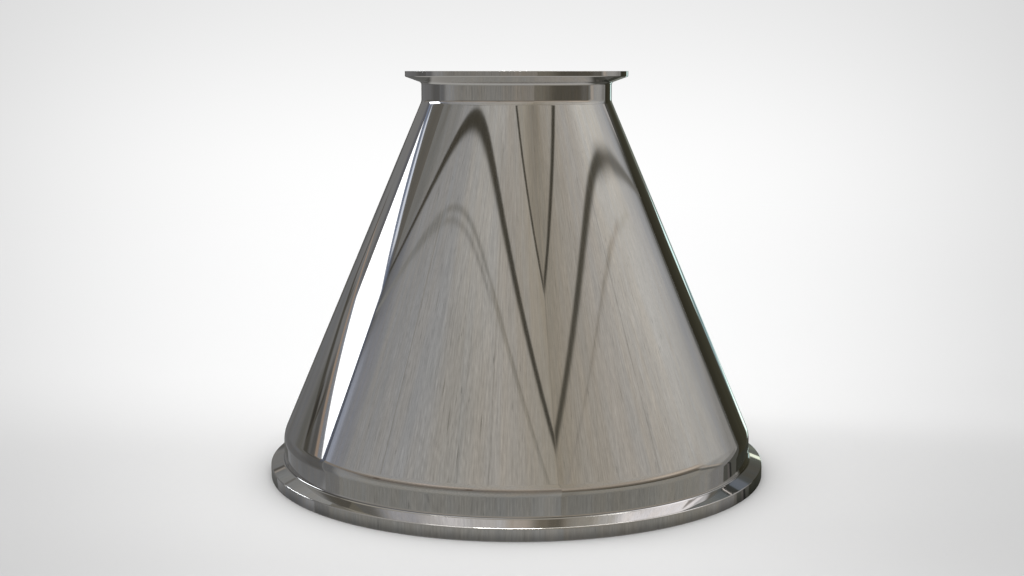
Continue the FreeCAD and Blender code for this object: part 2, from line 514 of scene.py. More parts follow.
@dataclass
class ReducerShell:
    """The whole reducer: large clamp rim, neck, bend, cone, bend, neck and small clamp rim, as one wall."""

    wall: float = 2.11 * MM
    large_neck_diameter: float = 254.0 * MM
    small_neck_diameter: float = 101.6 * MM
    large_neck_height: float = 13.0 * MM
    small_neck_height: float = 9.75 * MM
    large_rim_step: float = 7.24 * MM
    small_rim_step: float = 8.66 * MM
    large_rim_thickness: float = 6.35 * MM
    small_rim_thickness: float = 2.85 * MM
    bevel_angle: float = 20.0
    large_bend_inside: float = 12.7 * MM
    small_bend_outside: float = 6.4 * MM
    neck_root: float = 1.6 * MM
    rim_back: float = 0.6 * MM
    rim_face: float = 0.25 * MM
    small_rim_edge: float = 0.05 * MM
    broken_edge: float = 0.12 * MM
    groove: float = 1.6 * MM
    groove_steps: int = 12
    large_groove_inset: float = 4.95 * MM
    small_groove_inset: float = 4.3 * MM
    segments: int = 420
    support: float = 0.12 * MM
    length: float = field(default_factory=lambda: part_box(NODE)[1][2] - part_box(NODE)[0][2])

    def groove_corners(self, middle: float, height: float, depth: float, inwards: float) -> list[Corner]:
        """Return the points of one half-round gasket groove, as corners with no fillet.

        The points lie on the half circle middle + r cos(t), height + r sin(t) that dips into the face.

        Args:
            middle: distance of the groove's middle from the axis.
            height: height of the face.
            depth: +r where the groove dips upwards and -r where it dips downwards.
            inwards: +1 where the section runs away from the axis here and -1 where it runs towards it.

        Returns:
            The groove's corners, lips included.
        """
        found = []
        for turn in np.linspace(math.pi, 0.0, self.groove_steps + 1):
            radius = middle + inwards * self.groove * math.cos(turn)
            lip = self.broken_edge if turn in (math.pi, 0.0) else 0.0
            level = height + depth * math.sin(turn)
            found.append(Corner(radius, level, lip, 3 if lip else 0, 1, Finish.FACE))
        return found

    def corners(self) -> list[Corner]:
        """Work out the section's corners: from the large bore out, up the outside and down the inside.

        Returns:
            The corners, in order round the section.
        """
        rise = math.tan(math.radians(self.bevel_angle))
        large, small = self.large_neck_diameter / 2, self.small_neck_diameter / 2
        large_rim, small_rim = large + self.large_rim_step, small + self.small_rim_step
        large_foot = self.large_rim_thickness + self.large_rim_step * rise
        small_back = self.length - self.small_rim_thickness
        small_foot = small_back - self.small_rim_step * rise
        large_bend, small_bend = large_foot + self.large_neck_height, small_foot - self.small_neck_height
        slope = math.atan2(large - small, small_bend - large_bend)
        drop = self.wall * math.tan(slope / 2)
        inner_large, inner_small = large - self.wall, small - self.wall
        out, inside, face = Finish.OUTSIDE, Finish.INSIDE, Finish.FACE
        edge = self.broken_edge
        return [
            Corner(inner_large, 0.0, edge, 3, 1, face),
            *self.groove_corners(large_rim - self.large_groove_inset, 0.0, self.groove, 1.0),
            Corner(large_rim, 0.0, self.rim_face, 5, 1, out),
            Corner(large_rim, self.large_rim_thickness, self.rim_back, 12, 1, out),
            Corner(large, large_foot, self.neck_root, 12, 2, out),
            Corner(large, large_bend, self.large_bend_inside + self.wall, 16, 24, out),
            Corner(small, small_bend, self.small_bend_outside, 14, 2, out),
            Corner(small, small_foot, self.neck_root, 12, 1, out),
            Corner(small_rim, small_back, self.rim_back, 12, 1, out),
            Corner(small_rim, self.length, self.small_rim_edge, 3, 1, out),
            *self.groove_corners(small_rim - self.small_groove_inset, self.length, -self.groove, -1.0),
            Corner(inner_small, self.length, edge, 3, 2, inside),
            Corner(inner_small, small_bend - drop, self.small_bend_outside + self.wall, 8, 20, inside),
            Corner(inner_large, large_bend - drop, self.large_bend_inside, 8, 2, inside),
        ]

    @staticmethod
    def rounded(before: Corner, corner: Corner, after: Corner) -> np.ndarray:
        """Return the points of the round at one corner.

        The round touches both straights at r tan(turn / 2) from the corner, and its points are
        centre + r (cos a, sin a) with a in even steps.

        Args:
            before: the corner before.
            corner: the corner to round.
            after: the corner after.

        Returns:
            An array of (radius, height) rows, one row where the corner has no fillet.
        """
        here = np.array([corner.radius, corner.height])
        if corner.fillet == 0.0:
            return here[None, :]
        back = np.array([before.radius, before.height]) - here
        ahead = np.array([after.radius, after.height]) - here
        back, ahead = back / np.linalg.norm(back), ahead / np.linalg.norm(ahead)
        half = math.acos(float(np.clip(back @ ahead, -1.0, 1.0))) / 2
        middle = (back + ahead) / np.linalg.norm(back + ahead)
        centre = here + middle * corner.fillet / math.sin(half)
        first = here + back * corner.fillet / math.tan(half)
        last = here + ahead * corner.fillet / math.tan(half)
        start = math.atan2(*(first - centre)[::-1])
        turn = (math.atan2(*(last - centre)[::-1]) - start + math.pi) % math.tau - math.pi
        angles = start + turn * np.linspace(0.0, 1.0, corner.steps + 1)
        return centre + corner.fillet * np.column_stack([np.cos(angles), np.sin(angles)])

    def section(self) -> tuple[np.ndarray, np.ndarray]:
        """Work out the closed section.

        Each straight stretch is cut into even rows. A support row close to each end keeps the smooth
        normals of the stretch true.

        Returns:
            The section's points, and the finish of the strip that follows each point.
        """
        corners = self.corners()
        count = len(corners)
        rounds = [self.rounded(corners[i - 1], corners[i], corners[(i + 1) % count]) for i in range(count)]
        points, finishes = [], []
        for i, corner in enumerate(corners):
            first, last = rounds[i][-1], rounds[(i + 1) % count][0]
            length = float(np.linalg.norm(last - first))
            cuts = np.linspace(0.0, 1.0, corner.rows + 1)[1:-1]
            if length > 4 * self.support:
                near = self.support / length
                cuts = np.concatenate([[near], cuts, [1.0 - near]])
            straight = first + (last - first) * cuts[:, None]
            points.append(np.vstack([rounds[i], straight]))
            finishes += [int(corner.finish)] * len(points[-1])
        return np.vstack(points), np.array(finishes)

    def build(self) -> bpy.types.Object:
        """Turn the section round the axis, and dress it.

        The surface is (r cos t, r sin t, z) with (r, z) from the section and t in even steps, closed both
        ways. Where one finish meets the next, the strip between them takes the first one's finish.

        Returns:
            The shell's object.
        """
        points, finishes = self.section()
        rows, columns = len(points), self.segments
        angle = np.linspace(0.0, math.tau, columns, endpoint=False)
        grid = np.empty((rows, columns, 3))
        grid[..., 0] = points[:, 0, None] * np.cos(angle)
        grid[..., 1] = points[:, 0, None] * np.sin(angle)
        grid[..., 2] = points[:, 1, None]
        row, column = np.meshgrid(np.arange(rows), np.arange(columns), indexing="ij")
        next_row, next_column = (row + 1) % rows, (column + 1) % columns
        loops = np.stack([
            row * columns + column,
            row * columns + next_column,
            next_row * columns + next_column,
            next_row * columns + column,
        ], axis=-1).reshape(-1, 4)
        mesh = bpy.data.meshes.new("polished_reducer_shell")
        mesh.vertices.add(rows * columns)
        mesh.vertices.foreach_set("co", grid.reshape(-1).astype(np.float32))
        mesh.loops.add(loops.size)
        mesh.loops.foreach_set("vertex_index", loops.reshape(-1).astype(np.int32))
        mesh.polygons.add(len(loops))
        mesh.polygons.foreach_set("loop_start", np.arange(0, loops.size, 4, dtype=np.int32))
        mesh.polygons.foreach_set("material_index", np.repeat(finishes, columns).astype(np.int32))
        mesh.polygons.foreach_set("use_smooth", np.ones(len(loops), dtype=bool))
        mesh.update(calc_edges=True)
        mesh.validate()
        for finish in (PolishedSteel(), SatinSteel(), TurnedSteel()):
            mesh.materials.append(finish.build())
        shell = placed("polished_reducer_shell", mesh)
        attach(shell, BODY)
        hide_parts(NODE)
        return shell


@dataclass(frozen=True)
class Patch:
    """A soft-edged patch of colour on a wall: a joint, a rail, a window, a stain.

    Attributes:
        along: where it starts and stops along the wall.
        up: where it starts and stops in height.
        colour: the light it gives off.
        soft: width of its fade at the ends, the bottom and the top.
        strength: how much of the wall it hides, from 0 to 1.
        slope: rise of the patch for each metre along the wall.
        ring: True where it runs level round the reducer, as a rail does. Its heights are then those at
            one metre from the axis.
    """

    along: tuple[float, float]
    up: tuple[float, float]
    colour: Colour
    soft: Triple = (0.02, 0.02, 0.02)
    strength: float = 1.0
    slope: float = 0.0
    ring: bool = False


@dataclass(frozen=True)
class Shade:
    """The bare wall's colour at one place along it."""

    along: float
    colour: Colour


@dataclass(frozen=True)
class CastConcrete:
    """The grain of cast concrete: clouds of warm and cold grey, streaks, and small pits.

    Attributes:
        cloud: share by which the clouds lighten and darken.
        hue: how far the clouds turn from warm to cold.
        streak: share by which the streaks from the form boards lighten and darken.
        grain: share by which the fine grain lightens and darkens.
        pit: share by which a pit is darker.
        pit_edge: between which heights of the coarse grain a pit begins.
        hue_edge: between which heights of the hue's noise warm turns to cold.
        blue: how far blue turns for each share by which red turns.
    """

    cloud: float = 0.10
    hue: float = 0.016
    streak: float = 0.37
    grain: float = 0.47
    pit: float = 0.45
    cloud_scale: Triple = (1.6, 1.1, 1.0)
    hue_scale: Triple = (4.2, 2.6, 1.0)
    streak_scale: Triple = (42.0, 14.0, 1.0)
    grain_scale: Triple = (46.0, 110.0, 1.0)
    pit_scale: Triple = (26.0, 50.0, 1.0)
    pit_edge: tuple[float, float] = (0.69, 0.76)
    hue_edge: tuple[float, float] = (0.32, 0.68)
    blue: float = 1.4

    @staticmethod
    def swing(paint: Painter, noise: Socket, share: float) -> Socket:
        """Return 1 + share * (noise - 0.5) * 2, which lightens and darkens by a share."""
        return paint.math("MULTIPLY_ADD", noise, 2 * share, 1.0 - share)

    def paint(self, paint: Painter, place: Socket, colour: Socket) -> Socket:
        """Return a wall's colour with the grain on it.

        Each layer is noise on the wall's own (u, v): 1 + share * (noise - 0.5) * 2. The streaks are
        squeezed along u, and a pit is the part of a coarse grain that rises above its threshold.

        Args:
            paint: the material's painter.
            place: the wall's coordinates in metres.
            colour: the wall's smooth colour.

        Returns:
            The grained colour.
        """
        cloud = paint.noise(paint.scaled(place, self.cloud_scale), 1.0, 4.0)
        hue = paint.noise(paint.scaled(place, self.hue_scale), 1.0, 3.0)
        streak = paint.noise(paint.scaled(place, self.streak_scale), 1.0, 4.0)
        grain = paint.noise(paint.scaled(place, self.grain_scale), 1.0, 3.0)
        coarse = paint.noise(paint.scaled(place, self.pit_scale), 1.0, 1.0)
        pit = paint.ramp(coarse, *self.pit_edge, 0.0, self.pit)
        tone = self.swing(paint, cloud, self.cloud)
        tone = paint.math("MULTIPLY", tone, self.swing(paint, streak, self.streak))
        tone = paint.math("MULTIPLY", tone, self.swing(paint, grain, self.grain))
        tone = paint.math("MULTIPLY", tone, paint.math("SUBTRACT", 1.0, pit))
        warm = (1.0 + self.hue, 1.0, 1.0 - self.blue * self.hue)
        cold = (1.0 - self.hue, 1.0, 1.0 + self.blue * self.hue)
        tint = paint.mix(paint.ramp(hue, *self.hue_edge), warm, cold)
        return paint.tinted(paint.product(colour, tint), tone)


GROOVE: Colour = (0.072, 0.066, 0.052)
WINDOW: Colour = (1.85, 1.90, 2.00)
DAYLIGHT: Colour = (9.0, 9.4, 10.0)
JOINT: Colour = (0.25, 0.23, 0.20)
MARK: Colour = (0.16, 0.15, 0.13)
# OPEN leaves an edge out of a patch, ACROSS spans a short wall, and DEEP lies below every floor.
OPEN = 99.0
WIDE = (-OPEN, OPEN)
ACROSS = (-9.0, 9.0)
DEEP = -9.0
RAISE = 0.1457
FAR = 100.0


def rail(
    along: tuple[float, float], up: tuple[float, float], colour: Colour, soft: Triple, strength: float = 1.0
) -> Patch:
    """Return a patch that runs level round the reducer, as a rail does."""
    return Patch(along, up, colour, soft, strength, ring=True)


def raised(level: np.ndarray, reach: np.ndarray) -> np.ndarray:
    """Return the height that a room's point takes so that the steel shows it where the photo does.

    The photo's steel looks its room up from a centre that lies above the reducer: a direction with
    sine s and cosine c meets the point whose height over its distance is (s - RAISE) / c. Solved for
    the height at the same distance, that is (v + RAISE sqrt(v^2 + (1 - RAISE^2) h^2)) / (1 - RAISE^2).

    Args:
        level: heights v in the room.
        reach: level distances h from the axis.

    Returns:
        The heights at which to place the points.
    """
    rest = 1.0 - RAISE**2
    return (level + RAISE * np.sqrt(level**2 + rest * reach**2)) / rest


def reflected_sheet(
    name: str, places: np.ndarray, metres: np.ndarray, material: bpy.types.Material
) -> bpy.types.Object:
    """Make a gridded sheet, far away, that is seen in reflections only.

    Args:
        name: the sheet's name.
        places: a rows x columns x 3 grid of points in the room.
        metres: the rows x columns x 2 grid of the sheet's own coordinates.
        material: its material.

    Returns:
        The sheet's object, which only reflections see.
    """
    rows, columns = places.shape[:2]
    reach = np.hypot(places[..., 0], places[..., 1])
    spread = places.copy()
    spread[..., 2] = raised(places[..., 2], reach)
    index = np.arange(rows * columns).reshape(rows, columns)
    corners = [index[:-1, :-1], index[:-1, 1:], index[1:, 1:], index[1:, :-1]]
    faces = np.stack(corners, axis=-1).reshape(-1, 4)
    mesh = bpy.data.meshes.new(name)
    mesh.from_pydata((FAR * spread).reshape(-1, 3).tolist(), [], faces.tolist())
    layer = mesh.uv_layers.new(name="metres")
    layer.data.foreach_set("uv", metres.reshape(-1, 2)[faces.reshape(-1)].astype(np.float32).reshape(-1))
    mesh.materials.append(material)
    sheet = placed(name, mesh)
    sheet.visible_camera = False
    sheet.visible_diffuse = False
    sheet.visible_shadow = False
    sheet.visible_transmission = False
    return sheet


@dataclass
class RoomSheet:
    """What every surface of the reflected room is painted with: shades, grain, then patches on top.

    Attributes:
        name: the sheet's name.
        shades: the bare colour from one end to the other.
        patches: what is on it, from the back to the front.
        distance: distance of its foot from the axis, which ring patches need.
        concrete: its grain, or None where it is smooth.
    """

    name: str
    shades: list[Shade]
    patches: list[Patch]
    distance: float = 0.0
    concrete: CastConcrete | None = None

    def dress(self) -> bpy.types.Material:
        """Build the material: the painted colour, given off as light.

        Returns:
            The finished material.
        """
        paint = Painter(f"{self.name}_light")
        place = paint.node("ShaderNodeUVMap", uv_map="metres").outputs[0]
        u, v, _ = paint.split(place)
        first = self.shades[0].colour
        colour = paint.mix(0.0, first, first)
        for before, shade in zip(self.shades, self.shades[1:]):
            colour = paint.mix(paint.ramp(u, before.along, shade.along), colour, shade.colour)
        slant = paint.math("SQRT", paint.math("MULTIPLY_ADD", u, u, self.distance**2))
        around = paint.math("DIVIDE", v, slant)
        for patch in self.patches:
            level = around if patch.ring else v
            colour = paint.mix(self.mask(paint, u, level, patch), colour, patch.colour)
        if self.concrete:
            colour = self.concrete.paint(paint, place, colour)
        light = paint.node("ShaderNodeEmission")
        paint.feed(light.inputs["Color"], colour)
        return paint.output(light.outputs[0])

    @staticmethod
    def mask(paint: Painter, u: Socket, v: Socket, patch: Patch) -> Socket:
        """Work out how much a patch covers the wall at a point: the product of smooth steps at its edges.

        Args:
            paint: the material's painter.
            u: place along the wall.
            v: height on it.
            patch: the patch.

        Returns:
            The cover, from 0 to the patch's strength.
        """
        level = paint.math("MULTIPLY_ADD", u, -patch.slope, v) if patch.slope else v
        ends, below, above = patch.soft
        cover = paint.ramp(level, patch.up[0] - below, patch.up[0] + below, 0.0, patch.strength)
        if patch.up[1] < OPEN:
            top = paint.ramp(level, patch.up[1] - above, patch.up[1] + above, 1.0, 0.0)
            cover = paint.math("MULTIPLY", cover, top)
        if patch.along[0] > -OPEN:
            start = paint.ramp(u, patch.along[0] - ends, patch.along[0] + ends)
            cover = paint.math("MULTIPLY", cover, start)
        if patch.along[1] < OPEN:
            stop = paint.ramp(u, patch.along[1] - ends, patch.along[1] + ends, 1.0, 0.0)
            cover = paint.math("MULTIPLY", cover, stop)
        return cover


@dataclass
class RoomWall(RoomSheet):
    """One upright wall of the reflected room.

    Attributes:
        azimuth: the direction in which it stands from the axis.
        span: its ends, in metres along it from its foot.
        rise: its lower and upper edge.
        columns: how many points its grid has along it.
        rows: how many points its grid has upwards.
    """

    azimuth: float = 0.0
    span: tuple[float, float] = (-1.0, 1.0)
    rise: tuple[float, float] = (-2.2, 3.2)
    columns: int = 97
    rows: int = 49

    def build(self) -> bpy.types.Object:
        """Build the wall's sheet, on the points distance * n + u * along, at height v.

        Returns:
            The sheet's object.
        """
        u, v = np.meshgrid(np.linspace(*self.span, self.columns), np.linspace(*self.rise, self.rows))
        flat = self.distance * towards(self.azimuth) + u[..., None] * along_wall(self.azimuth)
        flat[..., 2] = v
        return reflected_sheet(self.name, flat, np.stack([u, v], axis=-1), self.dress())


@dataclass
class RoomLevel(RoomSheet):
    """The floor or the ceiling of the reflected room, as a disc that the walls cut off.

    Attributes:
        height: its height in the room.
        reach: the disc's radius.
        start: radius of its smallest ring.
        rings: how many rings it has.
        spokes: how many points there are round each ring.
    """

    height: float = 0.0
    reach: float = 18.0
    start: float = 0.02
    rings: int = 60
    spokes: int = 121

    def build(self) -> bpy.types.Object:
        """Build the disc's sheet, on the points (r cos t, r sin t), with its own coordinates x and y.

        Returns:
            The sheet's object.
        """
        radii = np.geomspace(self.start, self.reach, self.rings)
        radius, turn = np.meshgrid(radii, np.linspace(0.0, math.tau, self.spokes), indexing="ij")
        level = np.full_like(radius, self.height)
        places = np.stack([radius * np.cos(turn), radius * np.sin(turn), level], axis=-1)
        return reflected_sheet(self.name, places, places[..., :2], self.dress())


@dataclass
class ReflectedRoom:
    """The concrete room whose walls, joints, rails, window and lamp the polished steel shows."""

    floor_height: float = -2.2
    ceiling_height: float = 3.2
    joint_half: float = 0.008
    mark_half: float = 0.006

    def panel_joint(self, along: float, up: tuple[float, float], strength: float) -> Patch:
        """Return one faint upright joint between two panels.

        Args:
            along: its place along the wall.
            up: where it starts and stops in height.
            strength: how much of the wall it hides.

        Returns:
            The joint.
        """
        ends = (along - self.joint_half, along + self.joint_half)
        return Patch(ends, up, JOINT, (0.012, 0.03, 0.03), strength)

    def scratch(self, along: float, up: float, length: float = 0.016) -> Patch:
        """Return one short dark mark.

        Args:
            along: its place along the wall.
            up: its middle height.
            length: half its height.

        Returns:
            The mark.
        """
        ends = (along - self.mark_half, along + self.mark_half)
        return Patch(ends, (up - length, up + length), MARK, (0.006, 0.01, 0.01), 0.8)

    def left_wall(self) -> RoomWall:
        """Describe the wall behind the camera's left shoulder.

        Returns:
            The wall.
        """
        shades = [
            Shade(-4.5, (0.150, 0.150, 0.152)),
            Shade(-3.5, (0.235, 0.242, 0.265)),
            Shade(-1.9, (0.385, 0.386, 0.393)),
            Shade(-0.75, (0.415, 0.416, 0.422)),
            Shade(0.0, (0.462, 0.450, 0.428)),
            Shade(0.55, (0.505, 0.480, 0.445)),
            Shade(1.8, (0.450, 0.412, 0.350)),
        ]
        patches = [
            Patch((-0.45, 0.45), (0.74, 1.60), (0.545, 0.535, 0.515), (0.30, 0.10, 0.2), 0.9),
            Patch((0.30, 0.95), (1.00, 1.08), (0.445, 0.420, 0.385), (0.15, 0.01, 0.04), 0.6),
            Patch((-4.6, -1.35), (1.00, OPEN), (0.300, 0.298, 0.292), (0.35, 0.05, 0.02), 0.85),
            Patch((-4.6, -2.6), (1.03, OPEN), (0.235, 0.235, 0.228), (0.40, 0.04, 0.02), 0.8),
            Patch((0.85, 1.9), (1.33, 1.56), (0.405, 0.380, 0.330), (0.10, 0.01, 0.08), 0.6),
            Patch((1.35, 1.9), (1.33, 1.56), (0.350, 0.322, 0.275), (0.15, 0.01, 0.08), 0.8),
            Patch((-1.95, 0.0), (1.62, OPEN), (0.72, 0.73, 0.80), (0.65, 0.14, 0.1)),
            Patch((-0.78, 0.75), (1.55, OPEN), (1.02, 1.02, 1.07), (0.30, 0.14, 0.1)),
            Patch((-0.42, -0.10), (1.45, OPEN), (1.24, 1.26, 1.36), (0.15, 0.14, 0.1)),
            Patch((0.70, 1.22), (1.60, OPEN), (0.86, 0.79, 0.74), (0.20, 0.20, 0.1)),
            Patch((1.45, 1.9), (1.5, OPEN), (0.34, 0.31, 0.265), (0.15, 0.2, 0.1), 0.9),
            Patch((-4.6, -2.6), (-0.1, 0.72), (0.315, 0.325, 0.365), (0.4, 0.2, 0.15), 0.85),
            Patch((-4.6, -3.75), (-0.1, 0.62), (0.42, 0.46, 0.57), (0.30, 0.2, 0.12), 0.85),
            Patch((-2.4, 1.9), (1.278, 1.291), (0.56, 0.54, 0.50), (0.02, 0.004, 0.004), 0.7),
            Patch((-4.6, -1.0), (0.804, 0.837), (0.290, 0.290, 0.285), (0.25, 0.006, 0.005), 0.95),
            Patch((-1.0, 0.3), (0.8065, 0.8165), (0.290, 0.283, 0.270), (0.1, 0.004, 0.004), 0.9),
            Patch((0.3, OPEN), (0.8175, 0.8270), (0.335, 0.315, 0.275), (0.1, 0.004, 0.004), 0.85),
            Patch((-1.0, 0.3), (0.8270, 0.8370), (0.245, 0.238, 0.222), (0.1, 0.004, 0.004), 0.9),
            Patch((0.3, OPEN), (0.8290, 0.8385), (0.270, 0.250, 0.215), (0.1, 0.004, 0.004), 0.9),
            Patch(WIDE, (0.955, 0.995), GROOVE, (0.02, 0.011, 0.004)),
            Patch((-1.7, OPEN), (1.291, 1.328), GROOVE, (0.60, 0.008, 0.006)),
            Patch((-3.2, -1.9), (1.25, 1.42), (0.205, 0.195, 0.175), (0.40, 0.05, 0.05), 0.6),
            self.panel_joint(-1.10, (0.40, 0.83), 0.75),
            self.panel_joint(0.45, (0.45, 0.95), 0.45),
            self.panel_joint(0.04, (0.50, 0.72), 0.30),
            Patch((1.800, OPEN), (0.30, OPEN), (0.285, 0.262, 0.225), (0.010, 0.05, 0.1), 0.5),
            self.scratch(-0.155, 0.574),
            self.scratch(0.020, 0.556, 0.010),
            self.scratch(-0.30, 0.60, 0.010),
            self.scratch(-0.06, 0.505, 0.012),
            self.scratch(0.30, 0.640, 0.010),
            self.scratch(-0.70, 0.690, 0.014),
            rail((-1.4, 1.9), (0.030, 0.122), (0.505, 0.447, 0.395), (0.5, 0.01, 0.03), 0.75),
            rail((-0.45, 0.15), (0.060, 0.115), (0.62, 0.54, 0.49), (0.15, 0.012, 0.02), 0.9),
            rail(WIDE, (DEEP, 0.045), (0.300, 0.265, 0.235), (0.1, 0.1, 0.016)),
            rail(WIDE, (DEEP, -0.020), (0.200, 0.180, 0.160), (0.1, 0.1, 0.012)),
            rail(WIDE, (DEEP, -0.082), (0.262, 0.252, 0.238), (0.1, 0.1, 0.012)),
            rail(WIDE, (DEEP, -0.172), (0.365, 0.362, 0.347), (0.1, 0.1, 0.045)),
            Patch((-4.6, -1.5), (-1.6, -0.10), (0.345, 0.350, 0.362), (0.4, 0.1, 0.05), 0.8),
            Patch((-4.6, -2.75), (-1.6, -0.15), (0.160, 0.163, 0.172), (0.45, 0.1, 0.05), 0.9),
            Patch((0.6, 1.9), (-0.5, 0.04), (0.33, 0.28, 0.225), (0.4, 0.2, 0.03), 0.35),
            rail(WIDE, (DEEP, -0.38), (0.272, 0.271, 0.262), (0.1, 0.12, 0.07), 0.9),
            rail((1.25, 1.65), (DEEP, -0.36), (0.330, 0.328, 0.318), (0.12, 0.12, 0.07), 0.8),
            rail((-OPEN, -2.65), (DEEP, -0.34), (0.215, 0.216, 0.219), (0.12, 0.10, 0.05), 0.9),
            rail(WIDE, (DEEP, -0.50), (0.51, 0.51, 0.505), (0.1, 0.1, 0.04)),
            Patch((-1.13, -0.99), (-0.10, 0.03), (0.135, 0.110, 0.092), (0.04, 0.03, 0.03), 0.8),
            Patch((0.20, 0.29), (-0.08, 0.045), (0.15, 0.12, 0.10), (0.03, 0.02, 0.02), 0.8),
        ]
        return RoomWall(
            "left_wall", shades, patches, 1.409, CastConcrete(), azimuth=-31.72, span=(-4.55, 1.824)
        )

